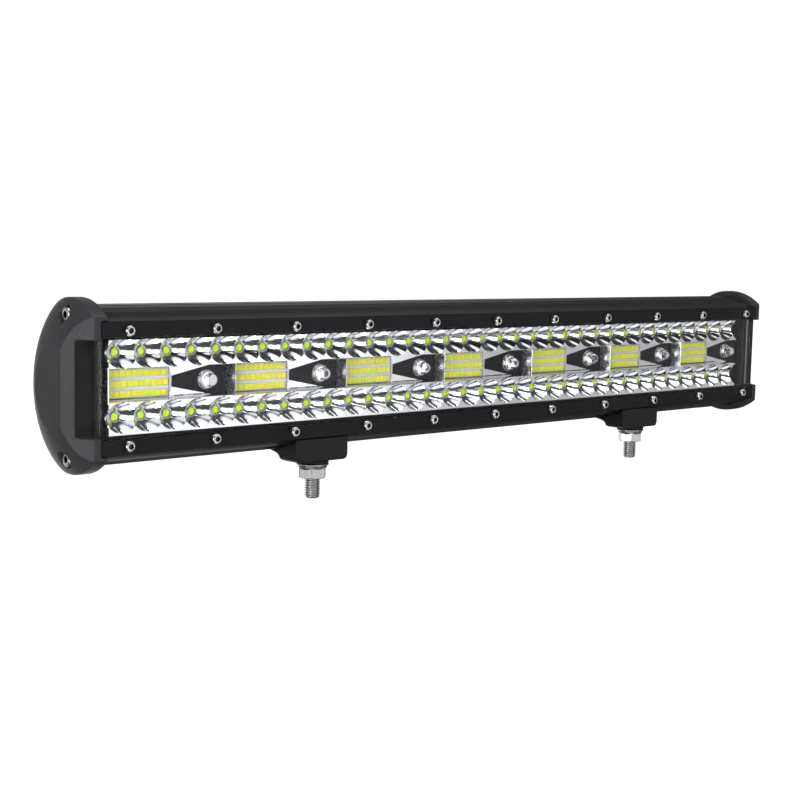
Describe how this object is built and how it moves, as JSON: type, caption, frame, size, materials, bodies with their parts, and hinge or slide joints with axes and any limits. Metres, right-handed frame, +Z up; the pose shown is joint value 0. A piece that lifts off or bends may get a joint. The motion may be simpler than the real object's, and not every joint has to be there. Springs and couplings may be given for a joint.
{
  "type": "led light bar",
  "caption": "Straight LED light bar: finned black aluminium housing with domed end caps, clear lens over chrome reflectors, and sliding feet with studs underneath.",
  "frame": {"origin": "on the mounting plane (the flat bases of both feet), midway along the bar, on the line through both stud axes", "axes": "+X along the bar towards the right end seen from the front, light leaves towards -Y, +Z up away from the studs"},
  "size_m": [0.5212, 0.0547, 0.1023],
  "materials": {
    "housing_anodised": "black anodised, fine satin",
    "cap_coated": "die cast, dark grey powder coat, fine satin",
    "strip_anodised": "black anodised, brushed along the bar",
    "foot_coated": "black powder coat, satin",
    "seal_rubber": "black silicone, matt",
    "lens_clear": "clear polycarbonate, polished",
    "projector_clear": "clear acrylic, polished",
    "reflector_chrome": "vacuum plated, mirror bright",
    "led_board": "aluminium core board with yellow phosphor emitters",
    "screw_steel": "stainless, bright",
    "bolt_zinc": "zinc plated, bright",
    "black_nylon": "moulded nylon, matt"
  },
  "bodies": {
    "bar": {"housing": "housing_anodised", "left_end_cap": "cap_coated", "right_end_cap": "cap_coated", "left_end_gasket": "seal_rubber", "right_end_gasket": "seal_rubber", "lens_cover": "lens_clear", "lens_seal": "seal_rubber", "top_strip": "strip_anodised", "bottom_strip": "strip_anodised", "led_board": "led_board", "reflector_1": "reflector_chrome", "projector_lens_1": "projector_clear", "reflector_2": "reflector_chrome", "projector_lens_2": "projector_clear", "reflector_3": "reflector_chrome", "projector_lens_3": "projector_clear", "reflector_4": "reflector_chrome", "projector_lens_4": "projector_clear", "reflector_5": "reflector_chrome", "projector_lens_5": "projector_clear", "reflector_6": "reflector_chrome", "projector_lens_6": "projector_clear", "reflector_7": "reflector_chrome", "projector_lens_7": "projector_clear", "top_strip_screw_01": "screw_steel", "bottom_strip_screw_01": "screw_steel", "top_strip_screw_02": "screw_steel", "bottom_strip_screw_02": "screw_steel", "top_strip_screw_03": "screw_steel", "bottom_strip_screw_03": "screw_steel", "top_strip_screw_04": "screw_steel", "bottom_strip_screw_04": "screw_steel", "top_strip_screw_05": "screw_steel", "bottom_strip_screw_05": "screw_steel", "top_strip_screw_06": "screw_steel", "bottom_strip_screw_06": "screw_steel", "top_strip_screw_07": "screw_steel", "bottom_strip_screw_07": "screw_steel", "top_strip_screw_08": "screw_steel", "bottom_strip_screw_08": "screw_steel", "top_strip_screw_09": "screw_steel", "bottom_strip_screw_09": "screw_steel", "top_strip_screw_10": "screw_steel", "bottom_strip_screw_10": "screw_steel", "top_strip_screw_11": "screw_steel", "bottom_strip_screw_11": "screw_steel", "left_cap_screw_upper": "screw_steel", "left_cap_screw_lower": "screw_steel", "right_cap_screw_upper": "screw_steel", "right_cap_screw_lower": "screw_steel", "cable_gland": "black_nylon", "breather": "black_nylon"},
    "left_foot": {"left_foot": "foot_coated", "left_bolt": "bolt_zinc"},
    "left_washer": {"left_washer": "black_nylon"},
    "left_nut": {"left_flange_nut": "bolt_zinc"},
    "right_foot": {"right_foot": "foot_coated", "right_bolt": "bolt_zinc"},
    "right_washer": {"right_washer": "black_nylon"},
    "right_nut": {"right_flange_nut": "bolt_zinc"}
  },
  "joints": [
    {"name": "left_foot_slide", "type": "slide", "parent": "bar", "child": "left_foot", "axis": [1, 0, 0], "range_m": [-0.105, 0.103]},
    {"name": "left_nut_travel", "type": "slide", "parent": "left_foot", "child": "left_washer", "axis": [0, 0, -1], "range_m": [0, 0.01]},
    {"name": "left_nut_turn", "type": "hinge", "parent": "left_washer", "child": "left_nut", "pos_m": [-0.121, 0, -0.002], "axis": [0, 0, -1], "range_deg": [0, 2880]},
    {"name": "right_foot_slide", "type": "slide", "parent": "bar", "child": "right_foot", "axis": [1, 0, 0], "range_m": [-0.113, 0.095]},
    {"name": "right_nut_travel", "type": "slide", "parent": "right_foot", "child": "right_washer", "axis": [0, 0, -1], "range_m": [0, 0.01]},
    {"name": "right_nut_turn", "type": "hinge", "parent": "right_washer", "child": "right_nut", "pos_m": [0.131, 0, -0.002], "axis": [0, 0, -1], "range_deg": [0, 2880]}
  ],
  "couplings": [
    {"joint": "left_nut_turn", "follows": "left_nut_travel", "rad_per_m": 5026.5},
    {"joint": "right_nut_turn", "follows": "right_nut_travel", "rad_per_m": 5026.5}
  ]
}
